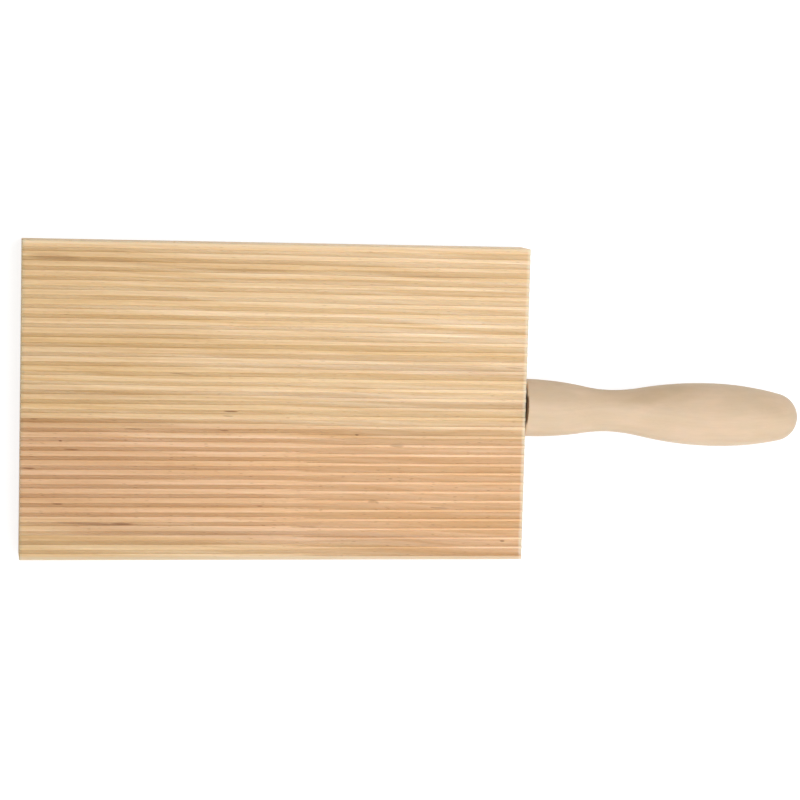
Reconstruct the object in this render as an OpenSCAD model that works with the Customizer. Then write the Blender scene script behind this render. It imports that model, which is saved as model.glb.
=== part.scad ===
// Gnocchi board: one ridged plank with a turned handle glued into its end.
// The ridges run along X, the handle points to +X and the top faces +Z.
// The origin is the centre of the flat underside of the plank.

/* [Plank] */
// Length of the plank, along the ridges
board_l = 200; // [150:1:260]
// Width of the plank, across the ridges
board_w = 124.8; // [90:0.1:160]
// Thickness from the underside to the crest of the ridges
board_t = 18; // [16:0.5:26]
// Radius that softens the long edges
side_round = 0.6; // [0.3:0.1:1.2]
// Radius that softens the edges of both ends
end_round = 0.25; // [0.1:0.05:0.4]
// Radius of the four upright corners
corner_round = 0.4; // [0.2:0.1:3]

/* [Ridges] */
// Distance from one ridge to the next
ridge_pitch = 3.695; // [3.6:0.005:5]
// How far the row of ridges sits off centre, towards the far side
ridge_shift = 0.05; // [-0.3:0.05:0.3]
// Depth of the grooves
groove_depth = 0.6; // [0.45:0.05:0.8]
// Radius in the corners of a groove
groove_r = 0.3; // [0.1:0.05:0.4]
// Slope of the groove walls from level
groove_slope = 60; // [55:1:75]
// Width of a groove at its mouth, over the free half
groove_w = 1.82; // [1.5:0.02:2.1]
// Width of a groove at its mouth over the handle half, at the far side
wide_far = 2.36; // [2.2:0.02:2.8]
// Width of a groove at its mouth over the handle half, at the near side
wide_near = 3.2; // [2.6:0.02:3.3]
// Share of the widening that falls to the near wall of a groove
wide_share = 0.72; // [0.5:0.01:0.9]
// Distance from the free end to where the wide cutter enters
wide_at = 98; // [60:1:130]
// Length over which the wide cutter sinks to its depth
wide_run = 33; // [20:1:33]

/* [Handle] */
// Length of the handle, from its shoulder to its tip
handle_l = 115.2; // [100:0.1:140]
// Diameter of the shoulder, next to the plank
shoulder_d = 23.1; // [21:0.1:26]
// Diameter of the neck
neck_d = 16.9; // [14:0.1:19]
// Diameter of the belly
belly_d = 25.6; // [23:0.1:30]
// Distance from the shoulder face to its fullest point
shoulder_at = 2.5; // [2:0.1:6]
// Distance from the shoulder face to the neck
neck_at = 35.5; // [30:0.1:42]
// Distance from the shoulder face to the fullest point of the belly
belly_at = 79; // [70:0.1:84]
// Share of the slope from shoulder to neck that is rounded outwards
shoulder_share = 0.7; // [0.4:0.01:0.75]
// Share of the slope from neck to belly that is hollowed
neck_share = 0.3; // [0.2:0.01:0.6]
// Radius of the sweep from the belly to the tip
tail_r = 127; // [100:1:160]
// Radius that softens the rim of the shoulder
rim_round = 0.8; // [0.4:0.1:1.5]

/* [Joint] */
// Diameter of the tenon that is turned on the handle
tenon_d = 10; // [8:0.5:11]
// Length of the tenon
tenon_l = 30; // [20:1:45]
// Chamfer on the end of the tenon
tenon_chamfer = 1; // [0.5:0.1:2]
// Gap all round the tenon, which glue fills
glue_gap = 0.1; // [0.05:0.01:0.2]
// Space left for glue beyond the end of the tenon
glue_pocket = 1.5; // [0.5:0.1:4]
// Gap between the plank and the nearest point of the shoulder
shoulder_gap = 0.08; // [0.05:0.01:0.5]
// How far the handle leans to the near side, in degrees
handle_lean = 1.75; // [0:0.05:3]
// How far the handle enters the plank off centre, towards the near side
handle_offset = 1.75; // [0:0.05:6]

/* [Hidden] */
board_colour = [0.89, 0.74, 0.55];
handle_colour = [0.90, 0.79, 0.67];
// Facets on a round that is only previewed, the solids being true curves
$fn = 96;
arc_fn = 360;

// Ridge pattern, counted from the far side
ridge_count = round(board_w / ridge_pitch);
groove_count = ridge_count - 1;
groove_span = (groove_count - 1) * ridge_pitch;
far_groove = groove_span / 2 + ridge_shift;

// Cutter teeth: the rise and run of the round corner, then of the whole wall
corner_rise = groove_r * (1 - cos(groove_slope));
corner_run = groove_r * sin(groove_slope);
wall_run = corner_run + (groove_depth - corner_rise) / tan(groove_slope);
body_y = groove_depth + ridge_pitch / 2 * tan(groove_slope);
cutter_over = 2 * board_t;
cutter_half_l = board_l;
wide_tilt = atan(groove_depth / wide_run);

// How much wider the wide cutter makes a groove
function extra_w(i) = wide_far + (wide_near - wide_far) * i / (groove_count - 1) - groove_w;

// Radii of the turned profile
shoulder_r = shoulder_d / 2;
neck_r = neck_d / 2;
belly_r = belly_d / 2;
tenon_r = tenon_d / 2;

// Two arcs meet without a kink where their radii add up to this sum
function arc_sum(run, rise) = (run * run + rise * rise) / (2 * rise);
front_run = neck_at - shoulder_at;
front_sum = arc_sum(front_run, shoulder_r - neck_r);
front_crown_r = front_sum * shoulder_share;
front_hollow_r = front_sum - front_crown_r;
front_turn = shoulder_at + front_run * shoulder_share;
back_run = belly_at - neck_at;
back_sum = arc_sum(back_run, belly_r - neck_r);
back_hollow_r = back_sum * neck_share;
back_crown_r = back_sum - back_hollow_r;
back_turn = neck_at + back_run * neck_share;

// The tip is a ball that the tail sweep meets without a kink
tail_run = handle_l - belly_at;
tip_r = (2 * tail_r * belly_r - belly_r * belly_r - tail_run * tail_run) / (2 * (tail_r - tail_run));
tip_turn = belly_at + (tail_run - tip_r) * tail_r / (tail_r - tip_r);

// Half width of the strips that the turned profile is cut from
strip_r = 1.2 * max(shoulder_r, belly_r);

// Where the handle meets the plank: its nearest rim point clears the end face
rim_rise = shoulder_at - rim_round;
rim_drop = front_crown_r - sqrt(front_crown_r * front_crown_r - rim_rise * rim_rise);
rim_r = shoulder_r - rim_drop - rim_round;
shoulder_stand = (shoulder_gap + rim_r * sin(handle_lean)) / cos(handle_lean);
mortise_d = tenon_d + 2 * glue_gap;
mortise_depth = tenon_l - shoulder_stand + glue_pocket;

// A rectangle about the origin with round corners
module soft_rectangle(size_x, size_y, round_r) {
    square([size_x - 2 * round_r, size_y], center = true);
    square([size_x, size_y - 2 * round_r], center = true);
    for (x = [-1, 1], y = [-1, 1])
        translate([x * (size_x / 2 - round_r), y * (size_y / 2 - round_r)])
            circle(r = round_r);
}

// The plank before it is ridged, softened on all its edges
module blank() {
    intersection() {
        translate([-board_l / 2, 0, board_t / 2])
            rotate([90, 0, 90])
                linear_extrude(height = board_l)
                    soft_rectangle(board_w, board_t, side_round);
        translate([0, board_w / 2, board_t / 2])
            rotate([90, 0, 0])
                linear_extrude(height = board_w)
                    soft_rectangle(board_l, board_t, end_round);
        linear_extrude(height = board_t)
            soft_rectangle(board_l, board_w, corner_round);
    }
}

// One tooth of a cutter, its flat tip at height 0, for a groove mouth that reaches far and near
module cutter_tooth(far, near) {
    tip_far = far - wall_run;
    tip_near = near - wall_run;
    top_run = corner_run + (body_y - corner_rise) / tan(groove_slope);
    for (x = [tip_far, -tip_near])
        translate([x, groove_r])
            circle(r = groove_r);
    polygon([
        [-tip_near, 0],
        [tip_far, 0],
        [tip_far + corner_run, corner_rise],
        [tip_far + top_run, body_y],
        [-tip_near - top_run, body_y],
        [-tip_near - corner_run, corner_rise]
    ]);
}

// A cutter block, the tips of its teeth at height 0; widen is 0 for the narrow block, 1 for the wide one
module cutter_block(widen) {
    translate([-cutter_half_l, 0, 0])
        rotate([90, 0, 90])
            linear_extrude(height = 2 * cutter_half_l) {
                for (i = [0 : groove_count - 1])
                    translate([far_groove - i * ridge_pitch, 0])
                        cutter_tooth(
                            groove_w / 2 + widen * extra_w(i) * (1 - wide_share),
                            groove_w / 2 + widen * extra_w(i) * wide_share
                        );
                translate([far_groove - groove_span - ridge_pitch, body_y])
                    square([groove_span + 2 * ridge_pitch, cutter_over]);
            }
}

// The narrow pass over the whole length, and the wide pass that sinks in over the handle half
module ridge_cut() {
    translate([0, 0, board_t - groove_depth])
        cutter_block(0);
    intersection() {
        translate([0, 0, board_t - groove_depth])
            cutter_block(1);
        translate([wide_at - board_l / 2, 0, board_t])
            rotate([0, wide_tilt, 0])
                cutter_block(1);
    }
}

// Moves what is drawn along Z onto the axis of the handle, Z = 0 at the end face
module on_handle_axis() {
    translate([board_l / 2, -handle_offset, board_t / 2])
        rotate([0, 0, -handle_lean])
            rotate([0, 90, 0])
                children();
}

// The blind round mortise
module mortise() {
    on_handle_axis()
        translate([0, 0, -mortise_depth])
            cylinder(d = mortise_d, h = 2 * mortise_depth);
}

// The plank, ridged and bored
module board() {
    color(board_colour)
        difference() {
            blank();
            ridge_cut();
            mortise();
        }
}

// A strip of the profile from z0 to z1
module strip(z0, z1) {
    translate([0, z0])
        square([strip_r, z1 - z0]);
}

// A strip that swells to radius peak_r at height peak_z, with an arc of radius arc_r
module crown(z0, z1, peak_z, peak_r, arc_r) {
    intersection() {
        strip(z0, z1);
        translate([peak_r - arc_r, peak_z])
            circle(r = arc_r, $fn = arc_fn);
    }
}

// A strip that narrows to radius low_r at height low_z, with an arc of radius arc_r
module hollow(z0, z1, low_z, low_r, arc_r) {
    difference() {
        strip(z0, z1);
        translate([low_r + arc_r, low_z])
            circle(r = arc_r, $fn = arc_fn);
    }
}

// Half of the turned shape, the axis upright, the shoulder face at 0
module handle_profile() {
    polygon([
        [0, -tenon_l],
        [tenon_r - tenon_chamfer, -tenon_l],
        [tenon_r, tenon_chamfer - tenon_l],
        [tenon_r, 0],
        [rim_r, 0],
        [rim_r, rim_round],
        [0, rim_round]
    ]);
    intersection() {
        strip(0, rim_round);
        translate([rim_r, rim_round])
            circle(r = rim_round);
    }
    crown(rim_round, front_turn, shoulder_at, shoulder_r, front_crown_r);
    hollow(front_turn, neck_at, neck_at, neck_r, front_hollow_r);
    hollow(neck_at, back_turn, neck_at, neck_r, back_hollow_r);
    crown(back_turn, belly_at, belly_at, belly_r, back_crown_r);
    crown(belly_at, tip_turn, belly_at, belly_r, tail_r);
    crown(tip_turn, handle_l, handle_l - tip_r, tip_r, tip_r);
}

// The turned handle, with its tenon in the mortise
module handle() {
    color(handle_colour)
        on_handle_axis()
            translate([0, 0, shoulder_stand])
                rotate_extrude($fn = 128)
                    handle_profile();
}

board();
handle();
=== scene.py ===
"""Gnocchi board: procedural woods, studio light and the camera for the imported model."""
import math

import bpy
from mathutils import Matrix, Vector


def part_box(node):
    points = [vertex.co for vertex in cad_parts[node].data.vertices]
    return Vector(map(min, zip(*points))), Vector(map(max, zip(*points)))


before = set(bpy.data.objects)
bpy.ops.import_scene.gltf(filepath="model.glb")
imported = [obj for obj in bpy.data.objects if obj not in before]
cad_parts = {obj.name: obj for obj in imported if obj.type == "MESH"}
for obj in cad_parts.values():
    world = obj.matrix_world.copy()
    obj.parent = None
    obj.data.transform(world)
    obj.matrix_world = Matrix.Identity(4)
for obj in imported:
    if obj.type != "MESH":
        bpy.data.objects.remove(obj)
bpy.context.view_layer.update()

# Real sizes in millimetres, in the frame of the model: X along the ridges, Z up
MM = 0.001
BOARD_LOW, BOARD_HIGH = (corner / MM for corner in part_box("board"))
HANDLE_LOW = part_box("handle")[0] / MM
BOARD_T = BOARD_HIGH.z
FAR_EDGE = BOARD_HIGH.y
NEAR_EDGE = BOARD_LOW.y
FREE_END = BOARD_LOW.x
HANDLE_END = BOARD_HIGH.x
GROOVE_DEPTH = 0.6
HANDLE_LEAN = math.radians(1.75)

# Light that scatters below the surface of both woods: its share, its reach in millimetres,
# and how far red, green and blue go as shares of that reach
SCATTER_SHARE = 0.6
SCATTER_REACH = 0.9
SCATTER_COLOURS = (1.0, 0.7, 0.45)
SPECULAR = 0.4


def tone(red, green, blue):
    """A colour written as 0 to 255 display values, as the linear colour that Blender takes."""
    def linear(value):
        value /= 255
        return value / 12.92 if value <= 0.04045 else ((value + 0.055) / 1.055) ** 2.4
    return (linear(red), linear(green), linear(blue), 1)


def grey(level):
    """A linear grey, 1 for white."""
    return (level, level, level, 1)


class Graph:
    """Short calls that add nodes to the tree of a material or a world, and join them."""

    def __init__(self, owner):
        owner.use_nodes = True
        self.owner = owner
        self.tree = owner.node_tree
        self.tree.nodes.clear()

    def node(self, kind, inputs=(), **settings):
        """Adds a node. inputs maps a socket's name or number to a value or to another socket."""
        made = self.tree.nodes.new(kind)
        for name, value in settings.items():
            setattr(made, name, value)
        for key, value in dict(inputs).items():
            if isinstance(value, bpy.types.NodeSocket):
                self.tree.links.new(value, made.inputs[key])
            else:
                made.inputs[key].default_value = value
        return made

    def math(self, operation, *values, clamp=False):
        """One step of arithmetic on numbers or sockets."""
        made = self.node("ShaderNodeMath", enumerate(values), operation=operation, use_clamp=clamp)
        return made.outputs[0]

    def add(self, a, b):
        return self.math("ADD", a, b)

    def subtract(self, a, b):
        return self.math("SUBTRACT", a, b)

    def times(self, a, b):
        return self.math("MULTIPLY", a, b)

    def sum(self, *weighted):
        """The sum of several values, each given with its weight."""
        total, *rest = [self.times(value, weight) for value, weight in weighted]
        for part in rest:
            total = self.add(total, part)
        return total

    def step(self, value, low, high):
        """0 below low, 1 above high and smooth between; falls instead where low is above high."""
        inputs = {"Value": value, "From Min": low, "From Max": high}
        return self.node("ShaderNodeMapRange", inputs, interpolation_type="SMOOTHSTEP").outputs[0]

    def span(self, value, low, high):
        """A value of 0 to 1 stretched from low to high."""
        inputs = {"Value": value, "To Min": low, "To Max": high}
        return self.node("ShaderNodeMapRange", inputs, clamp=False).outputs[0]

    def waver(self, value, noise, reach):
        """A value that a noise moves up and down, by the reach at most."""
        return self.add(value, self.span(noise, -reach, reach))

    def vector(self, x, y, z):
        return self.node("ShaderNodeCombineXYZ", {"X": x, "Y": y, "Z": z}).outputs[0]

    def on_grain(self, grain, along, across):
        """A vector for a pattern: a place on the grain, with its scale along the grain and across it."""
        length, side, depth = grain
        return self.vector(self.times(length, along), self.times(side, across), self.times(depth, across))

    def noise(self, vector, detail=2.0, roughness=0.5):
        inputs = {"Vector": vector, "Scale": 1.0, "Detail": detail, "Roughness": roughness}
        return self.node("ShaderNodeTexNoise", inputs).outputs["Fac"]

    def grain_noise(self, grain, along, across, detail=2.0, roughness=0.5):
        """Noise drawn out along the grain."""
        return self.noise(self.on_grain(grain, along, across), detail, roughness)

    def noise_line(self, position, detail=2.0, roughness=0.5):
        """Noise along one line, at a position that is already scaled."""
        inputs = {"W": position, "Scale": 1.0, "Detail": detail, "Roughness": roughness}
        return self.node("ShaderNodeTexNoise", inputs, noise_dimensions="1D").outputs["Fac"]

    def dashes(self, grain, along, across, reach, rare):
        """Short dashes along the grain, 0 between them. A higher rare leaves fewer dashes."""
        inputs = {"Vector": self.on_grain(grain, along, across), "Scale": 1.0}
        cells = self.node("ShaderNodeTexVoronoi", inputs).outputs
        random = self.node("ShaderNodeSeparateColor", {"Color": cells["Color"]}).outputs[0]
        dash = self.step(cells["Distance"], reach, reach - DASH_FADE)
        return self.times(dash, self.step(random, rare, DASH_FULL))

    def mix(self, share, a, b, blend="MIX"):
        """Colour a turned into colour b by a share of 0 to 1."""
        inputs = {"Factor": share, 6: a, 7: b}
        return self.node("ShaderNodeMix", inputs, data_type="RGBA", blend_type=blend).outputs[2]

    def tint(self, share, colour, by):
        """A colour multiplied by another one, by a share of 0 to 1."""
        return self.mix(share, colour, by, "MULTIPLY")

    def scale(self, vector, factor):
        """A place or a colour multiplied by one number."""
        inputs = {0: vector, "Scale": factor}
        return self.node("ShaderNodeVectorMath", inputs, operation="SCALE").outputs[0]

    def vary(self, colour, noise, amount):
        """A colour made lighter and darker by a noise, by a share of the colour at most."""
        return self.scale(colour, self.span(noise, 1 - amount, 1 + amount))

    def darken(self, colour, mask, amount):
        """A colour made darker where the mask is 1, by a share of the colour."""
        return self.scale(colour, self.subtract(1.0, self.times(mask, amount)))

    def millimetres(self):
        """The place on the object along X, Y and Z, in millimetres."""
        place = self.scale(self.node("ShaderNodeTexCoord").outputs["Object"], 1 / MM)
        parts = self.node("ShaderNodeSeparateXYZ", {"Vector": place}).outputs
        return parts["X"], parts["Y"], parts["Z"]

    def background_ray(self):
        """1 for rays from the camera and off gloss, 0 for the light that falls on the object."""
        path = self.node("ShaderNodeLightPath").outputs
        return self.math("ADD", path["Is Camera Ray"], path["Is Glossy Ray"], clamp=True)

    def wood(self, colour, roughness, height, depth):
        """The surface of a wood: its colour, its roughness and a bump of that depth in millimetres."""
        bump = self.node("ShaderNodeBump", {"Height": height, "Distance": depth * MM, "Strength": 1.0})
        inputs = {
            "Base Color": colour,
            "Roughness": roughness,
            "Normal": bump.outputs[0],
            "Specular IOR Level": SPECULAR,
            "Subsurface Weight": SCATTER_SHARE,
            "Subsurface Radius": SCATTER_COLOURS,
            "Subsurface Scale": SCATTER_REACH * MM,
        }
        surface = self.node("ShaderNodeBsdfPrincipled", inputs)
        self.node("ShaderNodeOutputMaterial", {"Surface": surface.outputs[0]})
        return self.owner


# Dashes such as pores: how softly they end, and the random value of the cells that show in full
DASH_FADE = 0.18
DASH_FULL = 0.9

# The plank's growth rings, as circles round a pith that runs below the near half
GRAIN_SLANT = 0.035
GRAIN_SWAY = 3.0
PITH_ACROSS = 34.0
PITH_BELOW = 25.0
# Where heartwood turns into sapwood, as a distance from the pith, and how soft and ragged that is
HEART_RADIUS = 49.0
BORDER_HALF = 3.5
BORDER_SWAY = 3.0
# How far that border moves towards the pith on the near side, at mid length, how much less for each
# millimetre towards the handle, and the width past the pith over which this comes in
NEAR_BORDER_MOVE = 0.6
NEAR_BORDER_SLOPE = 0.022
NEAR_BORDER_IN = 16.0

SAPWOOD = tone(249, 226, 195)
HEARTWOOD = tone(250, 216, 184)
DARK_LINE = tone(150, 96, 40)
PALE_LINE = tone(250, 230, 202)
PORE_WOOD = tone(140, 92, 50)
MARK_WOOD = tone(126, 74, 34)
# What the darker growth bands, the thin ones and the streaks multiply the wood's colour by
BAND_TINT = (0.88, 0.81, 0.66, 1)
THIN_BAND_TINT = (0.93, 0.89, 0.82, 1)
STREAK_TINT = (0.91, 0.85, 0.75, 1)
# What the grooves multiply the colour by, in the sapwood and in the heartwood: partly their
# rougher cut surface, partly painted shade in the hollows
SAPWOOD_GROOVE_SHADE = (0.91, 0.905, 0.90, 1)
HEARTWOOD_GROOVE_SHADE = (0.83, 0.80, 0.76, 1)
# Painted shade: what the free end multiplies the colour by, darkening the wood where less light falls
# and no sheen shows, and where that begins, as a share of the way from mid length to the handle end
SAPWOOD_FREE_END_SHADE = tone(241, 236, 224)
HEARTWOOD_FREE_END_SHADE = tone(236, 232, 229)
FREE_END_SHADE_FROM = 0.8

# How much fibres and hairs vary the colour, and how much darker chips and end grain are; the
# chips' darkening is partly torn fibres, partly painted shade of a hollow that is not cut
FIBRE_CONTRAST = 0.12
HAIR_CONTRAST = 0.16
CHIP_SHADE_DARKENING = 0.12
END_DARKENING = 0.15
# Strength of the pores, and how much less they show in the sapwood
PORE_SHARE = 0.65
SAPWOOD_PORE_LOSS = 0.30
# Depth below the crests at which the grooves' tint, partly painted shade, starts and is full,
# and how ragged that is
GROOVE_TINT_DEPTH = (0.06, 0.34)
GROOVE_RAGGED = 0.25
# How far in from the sides that tint starts and is full, and how far below the grooves' floors
# it is gone and still full
GROOVE_TINT_IN = (0.9, 1.5)
GROOVE_TINT_END = (0.5, 0.1)
# Roughness of the crests from smooth to rough, what the grooves add, and the depth of the bump
BOARD_ROUGHNESS = (0.50, 0.64)
GROOVE_ROUGHER = 0.14
BOARD_BUMP = 0.05

# How far below the top marks and chips end and are full, and the same for the painted light
# and shade of its edges
MARK_DEPTH = (3.0, 2.0)
RIM_DEPTH = (1.4, 0.7)
# How far in from both end faces the darker end grain ends and is full
END_BAND = (0.35, 0.10)
# How ragged marks and chips are, and where they are full, on oval's scale
LENS_RAGGED = 0.5
LENS_FULL = 0.2

# The edges of the top, with painted light and shade: how far in each tint ends, how far in it
# is full, and how strong it is
FAR_RIM = (1.3, 0.7, 0.60)
NEAR_RIM = (1.9, 0.8, 0.65)
FREE_RIM = (1.5, 0.3, 1.00)
HANDLE_RIM = (1.7, 0.5, 0.55)
FREE_RIM_RAGGED = 0.8
HANDLE_RIM_RAGGED = 0.4
# Painted light and shade on the edges of the top
FAR_RIM_SHADE = tone(234, 212, 178)
NEAR_RIM_SHADE = tone(212, 195, 170)
HANDLE_RIM_LIGHT = tone(238, 229, 208)
FREE_RIM_SHADE = (0.87, 0.94, 1.0, 1)

# Dark growth lines: distance from the far edge at mid length, reach to each side, strength
GROWTH_LINES = [
    (7.5, 6.0, 0.05),
    (10.2, 1.1, 0.20),
    (14.0, 0.7, 0.16),
    (36.0, 7.0, 0.05),
    (43.5, 1.3, 0.12),
    (47.5, 2.8, 0.24),
    (60.5, 2.6, 0.22),
    (65.0, 7.0, 0.04),
    (72.7, 0.9, 0.06),
    (120.0, 3.0, 0.14),
]
# Pale growth lines, given in the same way
PALE_LINES = [
    (20.8, 3.2, 0.40),
    (29.0, 2.0, 0.15),
    (52.6, 2.4, 0.20),
]
# Dark marks: distance from the free end and from the far edge, length, width, strength
MARKS = [
    (12.0, 6.2, 24.0, 3.0, 0.24),
    (61.8, 51.2, 11.0, 0.50, 0.48),
    (81.8, 65.9, 7.0, 0.70, 0.72),
    (5.2, 69.3, 4.0, 0.60, 0.528),
    (43.8, 73.0, 9.0, 0.55, 0.48),
    (79.3, 73.4, 4.0, 0.60, 0.48),
    (15.4, 77.8, 1.6, 0.60, 0.72),
    (19.7, 81.2, 7.0, 0.60, 0.48),
    (3.2, 88.6, 7.0, 0.70, 0.528),
    (14.7, 102.6, 5.0, 0.80, 0.528),
    (28.0, 110.4, 34.0, 1.20, 0.384),
    (100.0, 114.8, 220.0, 6.0, 0.12),
    (39.8, 110.4, 11.0, 0.90, 0.528),
    (80.5, 67.6, 5.0, 0.50, 0.48),
    (112.0, 111.5, 14.0, 0.60, 0.336),
    (166.0, 104.0, 9.0, 0.70, 0.336),
    (93.8, 103.4, 3.0, 0.60, 0.36),
    (131.9, 74.8, 1.8, 0.60, 0.72),
    (145.9, 92.3, 2.0, 0.50, 0.432),
    (192.0, 117.4, 2.4, 0.80, 0.672),
    (195.0, 47.6, 9.0, 0.50, 0.432),
]
# Chips out of a crest: distance from the free end and from the far edge, length, width
CHIPS = [
    (148.0, 79.0, 7.0, 1.7),
    (139.0, 101.4, 5.0, 1.7),
]


def ring_radius(from_far_edge):
    """Distance from the pith, on the top face at mid length, of a point that far from the far edge."""
    across = from_far_edge - FAR_EDGE
    return math.hypot(across - PITH_ACROSS, BOARD_T + PITH_BELOW)


def ring_field(g, x, y, z):
    """How far across the grain a point is, the same with a slow sway, and its distance from the pith."""
    across = g.subtract(g.times(x, -GRAIN_SLANT), y)
    sway = g.grain_noise((x, across, z), along=0.011, across=0.02, detail=1.0)
    sway_across = g.waver(across, sway, GRAIN_SWAY)
    from_pith = g.subtract(sway_across, PITH_ACROSS)
    above_pith = g.add(z, PITH_BELOW)
    squares = g.add(g.times(from_pith, from_pith), g.times(above_pith, above_pith))
    return across, sway_across, g.math("SQRT", squares)


def sapwood_share(g, x, across, radius, ragged):
    """1 in the sapwood and 0 in the heartwood, with a ragged border along the grain."""
    border = g.waver(radius, ragged, BORDER_SWAY)
    near_side = g.step(across, PITH_ACROSS, PITH_ACROSS + NEAR_BORDER_IN)
    move = g.subtract(NEAR_BORDER_MOVE, g.times(x, NEAR_BORDER_SLOPE))
    border = g.add(border, g.times(near_side, move))
    return g.step(border, HEART_RADIUS - BORDER_HALF, HEART_RADIUS + BORDER_HALF)


def ring_line(g, radius, from_far_edge, reach, strength):
    """One growth line: its strength in the middle of the line, and 0 past its reach."""
    offset = g.math("ABSOLUTE", g.subtract(radius, ring_radius(from_far_edge)))
    return g.times(g.step(offset, reach, 0.0), strength)


def growth_colour(g, x, radius, sapwood):
    """Sapwood and heartwood with their broad bands, thin bands and single growth lines."""
    colour = g.mix(sapwood, HEARTWOOD, SAPWOOD)
    bands = g.noise_line(g.times(radius, 0.22), detail=3.0, roughness=0.6)
    colour = g.tint(g.step(bands, 0.28, 0.72), colour, BAND_TINT)
    thin_bands = g.noise_line(g.times(radius, 1.1), roughness=0.6)
    colour = g.tint(g.step(thin_bands, 0.25, 0.75), colour, THIN_BAND_TINT)
    # The dark lines fade and come back along the grain
    fade = g.noise(g.vector(g.times(x, 0.012), g.times(radius, 0.3), 0.0), detail=1.0)
    fade = g.span(g.step(fade, 0.3, 0.65), 0.2, 1.0)
    for line in GROWTH_LINES:
        colour = g.mix(g.times(ring_line(g, radius, *line), fade), colour, DARK_LINE)
    for line in PALE_LINES:
        colour = g.mix(ring_line(g, radius, *line), colour, PALE_LINE)
    return colour


def free_end_shade(g, colour, x, sapwood):
    """Painted shade: the wood darkens slowly towards the free end, where less light falls and no sheen
    shows.
    """
    tint = g.mix(sapwood, HEARTWOOD_FREE_END_SHADE, SAPWOOD_FREE_END_SHADE)
    return g.tint(g.step(x, FREE_END_SHADE_FROM * HANDLE_END, FREE_END), colour, tint)


def oval(g, along, across, middle, size):
    """A scale of 0 in the middle of an oval and 1 on its edge, which goes on growing past it."""
    dx = g.times(g.subtract(along, middle[0]), 2 / size[0])
    dy = g.times(g.subtract(across, middle[1]), 2 / size[1])
    return g.add(g.times(dx, dx), g.times(dy, dy))


def lens(g, x, across, ragged, along, from_far_edge, length, width):
    """A slim ragged lens on the grain: 1 inside, 0 outside."""
    middle = (FREE_END + along, from_far_edge - FAR_EDGE - GRAIN_SLANT * (FREE_END + along))
    reach = oval(g, x, across, middle, (length, width))
    return g.step(g.waver(reach, ragged, LENS_RAGGED), 1.0, LENS_FULL)


def mark_colour(g, colour, x, across, ragged, near_top):
    """The dark marks on the ridged face."""
    for *shape, strength in MARKS:
        mark = g.times(lens(g, x, across, ragged, *shape), near_top)
        colour = g.mix(g.times(mark, strength), colour, MARK_WOOD)
    return colour


def chip_mask(g, x, across, ragged, near_top):
    """1 where a chip is missing from a crest."""
    mask = 0.0
    for chip in CHIPS:
        mask = g.math("MAXIMUM", mask, g.times(lens(g, x, across, ragged, *chip), near_top))
    return mask


def groove_mask(g, x, y, z):
    """1 in the grooves and 0 on the crests, with a ragged border, and 0 on the sides and the back."""
    ragged = g.noise(g.vector(g.times(x, 0.35), g.times(y, 1.5), 0.0))
    below_top = g.subtract(BOARD_T, z)
    starts, full = GROOVE_TINT_IN
    off_the_sides = g.step(g.math("ABSOLUTE", y), FAR_EDGE - starts, FAR_EDGE - full)
    gone, still_full = GROOVE_TINT_END
    above_the_floor = g.step(below_top, GROOVE_DEPTH + gone, GROOVE_DEPTH + still_full)
    cut = g.step(g.waver(below_top, ragged, GROOVE_RAGGED), *GROOVE_TINT_DEPTH)
    return g.times(cut, g.times(off_the_sides, above_the_floor))


def edge_band(g, place, edge, ends, full):
    """1 at a face of the plank, and down to 0 further in, between where it is full and where it ends."""
    inward = -math.copysign(1, edge)
    return g.step(place, edge + inward * ends, edge + inward * full)


def rim(g, place, edge, rim_top, ends, full, strength):
    """How much of its tint an edge of the top takes."""
    band = g.times(edge_band(g, place, edge, ends, full), rim_top)
    return g.times(band, strength)


def rim_light_and_shade(g, colour, x, y, z, ragged):
    """The softened edges of the top, with painted light and shade: paler at the far side and the
    handle, greyer at the other two.
    """
    rim_top = edge_band(g, z, BOARD_T, *RIM_DEPTH)
    free_x = g.waver(x, ragged, FREE_RIM_RAGGED)
    handle_x = g.waver(x, ragged, HANDLE_RIM_RAGGED)
    colour = g.mix(rim(g, y, FAR_EDGE, rim_top, *FAR_RIM), colour, FAR_RIM_SHADE)
    colour = g.mix(rim(g, y, NEAR_EDGE, rim_top, *NEAR_RIM), colour, NEAR_RIM_SHADE)
    colour = g.tint(rim(g, free_x, FREE_END, rim_top, *FREE_RIM), colour, FREE_RIM_SHADE)
    return g.mix(rim(g, handle_x, HANDLE_END, rim_top, *HANDLE_RIM), colour, HANDLE_RIM_LIGHT)


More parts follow.
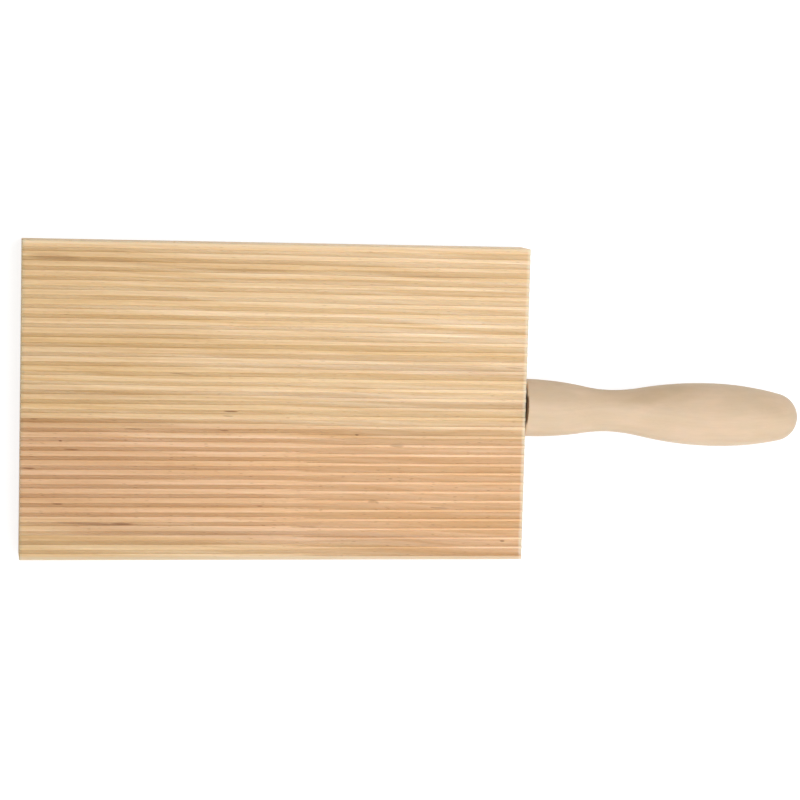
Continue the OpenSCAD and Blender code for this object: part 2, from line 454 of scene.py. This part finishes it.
def board_wood():
    """Unfinished plank: sapwood and heartwood, slanting grain, marks, pores and darker grooves, with
    painted shade in the grooves, towards the free end and on the edges.
    """
    g = Graph(bpy.data.materials.new("ridged plank"))
    x, y, z = g.millimetres()
    across, sway_across, radius = ring_field(g, x, y, z)
    ragged = g.grain_noise((x, across, z), along=0.02, across=0.25, detail=3.0)
    sapwood = sapwood_share(g, x, across, radius, ragged)
    colour = growth_colour(g, x, radius, sapwood)
    # Painted shade towards the free end
    colour = free_end_shade(g, colour, x, sapwood)

    # Streaks, then fibres, long and short, then pores
    grain = (x, sway_across, z)
    streaks = g.grain_noise(grain, along=0.02, across=0.6, detail=3.0, roughness=0.6)
    colour = g.tint(g.step(streaks, 0.32, 0.68), colour, STREAK_TINT)
    fibres = g.grain_noise(grain, along=0.03, across=2.2, detail=3.0, roughness=0.6)
    colour = g.vary(colour, fibres, FIBRE_CONTRAST)
    hairs = g.grain_noise(grain, along=0.25, across=4.5, roughness=0.6)
    colour = g.vary(colour, hairs, HAIR_CONTRAST)
    pores = g.dashes(grain, along=0.22, across=2.4, reach=0.26, rare=0.55)
    pore_share = g.subtract(PORE_SHARE, g.times(sapwood, SAPWOOD_PORE_LOSS))
    colour = g.mix(g.times(pores, pore_share), colour, PORE_WOOD)

    # What the ridged face alone shows: marks, chips, grooves and edges, with painted shade in the
    # grooves and painted light and shade on the edges
    near_top = edge_band(g, z, BOARD_T, *MARK_DEPTH)
    colour = mark_colour(g, colour, x, across, fibres, near_top)
    # Chips are painted darker: partly torn fibres, partly painted shade of a hollow that is not cut
    chips = chip_mask(g, x, across, fibres, near_top)
    colour = g.darken(colour, chips, CHIP_SHADE_DARKENING)
    # The grooves' tint: partly their rougher cut surface, partly painted shade in the hollows
    groove = g.math("MAXIMUM", groove_mask(g, x, y, z), chips)
    groove_shade_tint = g.mix(sapwood, HEARTWOOD_GROOVE_SHADE, SAPWOOD_GROOVE_SHADE)
    colour = g.tint(groove, colour, groove_shade_tint)
    colour = rim_light_and_shade(g, colour, x, y, z, ragged)

    # The end grain is darker, and the grooves are rougher
    end_grain = edge_band(g, g.math("ABSOLUTE", x), HANDLE_END, *END_BAND)
    colour = g.darken(colour, end_grain, END_DARKENING)
    roughness = g.add(g.span(fibres, *BOARD_ROUGHNESS), g.times(groove, GROOVE_ROUGHER))
    height = g.sum((fibres, 0.5), (hairs, 0.3), (pores, -0.8))
    return g.wood(colour, roughness, height, BOARD_BUMP)


HANDLE_WOOD = tone(218, 195, 166)
HANDLE_DARK = tone(209, 183, 153)
HANDLE_BLUSH = tone(222, 195, 168)
HANDLE_STAIN = tone(184, 158, 122)
HANDLE_FLECK = tone(160, 112, 74)
# Painted shade: the shoulder's face beside the board, dark brown as it lies in the gap's shadow
JOINT_SHADE = tone(92, 58, 18)
# Painted shade: what the far side of the handle, away from the light, multiplies the colour by,
# and how far over that starts and is full
HANDLE_FAR_SHADE = (0.91, 0.89, 0.86, 1)
HANDLE_FAR = (1.0, 12.0)
# The direction across the growth rings: to the far side, and up
RINGS_ASIDE = 0.83
RINGS_UP = 0.55
RINGS_SWAY = 3.0
# Strength of the growth bands, the blush, the stain, the ray flecks and the painted shade on the
# shoulder's face
BAND_SHARE = 0.60
BLUSH_SHARE = 0.45
STAIN_SHARE = 0.40
FLECK_SHARE = 0.16
JOINT_SHADE_SHARE = 0.90
# How much blotches and fibres vary the colour
HANDLE_CONTRAST = 0.06
HANDLE_ROUGHNESS = (0.48, 0.60)
HANDLE_BUMP = 0.03
# The middle of the stained patch along X and Y, its length and width, and on oval's scale
# how ragged it is and where it ends and is full
STAIN_MIDDLE = (148.0, 8.0)
STAIN_SIZE = (58.0, 15.0)
STAIN_RAGGED = 0.6
STAIN_FADE = (1.3, 0.1)
# How far the flat face of the shoulder is from the middle of the plank, along the axis of the handle
SHOULDER = 100.415
# How far from the middle of the plank that axis passes, on the far side
HANDLE_AXIS = 1.305
# Where the painted shade on that face ends and is full: out from the face, and out from the axis
JOINT_SHADE_DEPTH = (0.40, 0.12)
JOINT_SHADE_RADIUS = (6.5, 4.5)
JOINT_SHADE_RAGGED = 0.15


def stain_mask(g, x, y, blotch):
    """A faint blotchy stain on the far side of the neck, up to the belly."""
    reach = g.waver(oval(g, x, y, STAIN_MIDDLE, STAIN_SIZE), blotch, STAIN_RAGGED)
    return g.step(reach, *STAIN_FADE)


def joint_shade_mask(g, along, side, fibres):
    """1 on the flat face of the shoulder, painted dark brown as the shade in the gap at the joint."""
    from_face = g.waver(g.subtract(along, SHOULDER), fibres, JOINT_SHADE_RAGGED)
    from_axis = g.math("ABSOLUTE", g.subtract(side, HANDLE_AXIS))
    return g.times(g.step(from_face, *JOINT_SHADE_DEPTH), g.step(from_axis, *JOINT_SHADE_RADIUS))


def handle_wood():
    """Turned and sanded wood of a second, pinker kind, its grain along the handle."""
    g = Graph(bpy.data.materials.new("turned handle"))
    x, y, z = g.millimetres()
    along = g.sum((x, math.cos(HANDLE_LEAN)), (y, -math.sin(HANDLE_LEAN)))
    side = g.sum((x, math.sin(HANDLE_LEAN)), (y, math.cos(HANDLE_LEAN)))
    grain = (along, side, z)
    sway = g.grain_noise(grain, along=0.02, across=0.05, detail=1.0)
    ring = g.waver(g.sum((side, RINGS_ASIDE), (z, RINGS_UP)), sway, RINGS_SWAY)
    bands = g.noise_line(g.times(ring, 0.30))
    colour = g.mix(g.times(g.step(bands, 0.2, 0.8), BAND_SHARE), HANDLE_WOOD, HANDLE_DARK)
    # Painted shade on the far side of the handle, away from the light
    colour = g.tint(g.step(side, *HANDLE_FAR), colour, HANDLE_FAR_SHADE)

    # Blotches, fibres, the stain, short ray flecks and the painted shade at the joint
    blotch = g.grain_noise(grain, along=0.05, across=0.12)
    colour = g.mix(g.times(g.step(blotch, 0.40, 0.62), BLUSH_SHARE), colour, HANDLE_BLUSH)
    colour = g.vary(colour, blotch, HANDLE_CONTRAST)
    fibres = g.grain_noise(grain, along=0.08, across=2.5, detail=3.0, roughness=0.6)
    colour = g.vary(colour, fibres, HANDLE_CONTRAST)
    colour = g.mix(g.times(stain_mask(g, x, y, blotch), STAIN_SHARE), colour, HANDLE_STAIN)
    flecks = g.dashes(grain, along=0.45, across=2.6, reach=0.24, rare=0.45)
    colour = g.mix(g.times(flecks, FLECK_SHARE), colour, HANDLE_FLECK)
    colour = g.mix(g.times(joint_shade_mask(g, along, side, fibres), JOINT_SHADE_SHARE), colour, JOINT_SHADE)

    # Faint marks of the lathe, round the axis
    lathe = g.noise_line(g.times(along, 1.6), roughness=0.6)
    height = g.sum((fibres, 0.4), (lathe, 0.4), (flecks, -0.5))
    return g.wood(colour, g.span(fibres, *HANDLE_ROUGHNESS), height, HANDLE_BUMP)


def dress(node, material):
    """Gives a node of the model its material."""
    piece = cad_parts[node]
    piece.data.materials.clear()
    piece.data.materials.append(material)


# The part rests on the belly of the handle and on the bottom edge of the free end
BELLY_FROM_SHOULDER = 79.0
# The side of the floor in metres, and the grey that it is to the light
FLOOR_SIZE = 6.0
FLOOR_GREY = 0.80
# How strongly the floor shows shadows to the camera, and the light that it adds to be white
FLOOR_SHADE = 0.40
FLOOR_LIFT = 0.75
# Strength of the light from the surround
WORLD_LIGHT = 0.60
# The side of each square lamp, in metres
LAMP_SIZE = 0.50
# Lamps: name, place and target in metres, power in watts
LAMPS = [
    ("key", (0.25, 0.08, 1.00), (0.05, 0.0, 0.01), 4.8),
    ("near", (0.15, -0.90, 0.30), (0.08, 0.0, 0.01), 2.3),
]


def floor_material():
    """White to the camera, and a plain pale surface to the light, so that it keeps the shadow."""
    g = Graph(bpy.data.materials.new("studio floor"))
    pale = g.node("ShaderNodeBsdfDiffuse", {"Color": grey(FLOOR_GREY)}).outputs[0]
    faint = g.node("ShaderNodeBsdfDiffuse", {"Color": grey(FLOOR_SHADE)}).outputs[0]
    glow = g.node("ShaderNodeEmission", {"Color": grey(1), "Strength": FLOOR_LIFT}).outputs[0]
    white = g.node("ShaderNodeAddShader", {0: faint, 1: glow}).outputs[0]
    both = g.node("ShaderNodeMixShader", {0: g.background_ray(), 1: pale, 2: white}).outputs[0]
    g.node("ShaderNodeOutputMaterial", {"Surface": both})
    return g.owner


def make_floor():
    """A plane that touches both places where the part rests."""
    bpy.ops.mesh.primitive_plane_add(size=FLOOR_SIZE)
    floor = bpy.context.object
    floor.name = "floor"
    drop = -HANDLE_LOW.z
    run = HANDLE_END + BELLY_FROM_SHOULDER - FREE_END
    floor.rotation_euler = (0, math.atan2(drop, run), 0)
    floor.location = (FREE_END * MM, 0, 0)
    floor.data.materials.append(floor_material())


def make_world():
    """An even white surround, plain white to the camera and in reflections."""
    world = bpy.data.worlds.new("studio")
    g = Graph(world)
    strength = g.span(g.background_ray(), WORLD_LIGHT, 1.0)
    surround = g.node("ShaderNodeBackground", {"Color": grey(1), "Strength": strength}).outputs[0]
    g.node("ShaderNodeOutputWorld", {"Surface": surround})
    bpy.context.scene.world = world


def area_light(name, place, target, power):
    """A square soft light that faces a target."""
    data = bpy.data.lights.new(name, "AREA")
    data.shape = "SQUARE"
    data.size = LAMP_SIZE
    data.energy = power
    lamp = bpy.data.objects.new(name, data)
    bpy.context.scene.collection.objects.link(lamp)
    lamp.location = place
    aim = Vector(target) - Vector(place)
    lamp.rotation_euler = aim.to_track_quat("-Z", "Y").to_euler()


# The camera, worked out from the vanishing points of the board's edges in the photograph
CAMERA_PLACE = (-118.08, 106.00, 1004.07)
CAMERA_RIGHT = Vector((0.98610, 0.02571, 0.16417))
CAMERA_UP = Vector((-0.00818, 0.99428, -0.10654))
CAMERA_LENS = 114.1
CAMERA_SENSOR = 36.0


def make_camera():
    """The camera, turned so that its axes are at right angles."""
    data = bpy.data.cameras.new("camera")
    data.lens = CAMERA_LENS
    data.sensor_width = CAMERA_SENSOR
    data.clip_start = 0.01
    data.clip_end = 50.0
    camera = bpy.data.objects.new("camera", data)
    bpy.context.scene.collection.objects.link(camera)
    right = CAMERA_RIGHT.normalized()
    back = right.cross(CAMERA_UP).normalized()
    up = back.cross(right)
    turn = Matrix((right, up, back)).transposed()
    camera.matrix_world = Matrix.Translation(Vector(CAMERA_PLACE) * MM) @ turn.to_4x4()
    bpy.context.scene.camera = camera


dress("board", board_wood())
dress("handle", handle_wood())
make_floor()
make_world()
for lamp in LAMPS:
    area_light(*lamp)
make_camera()
bpy.context.scene.view_settings.view_transform = "Standard"
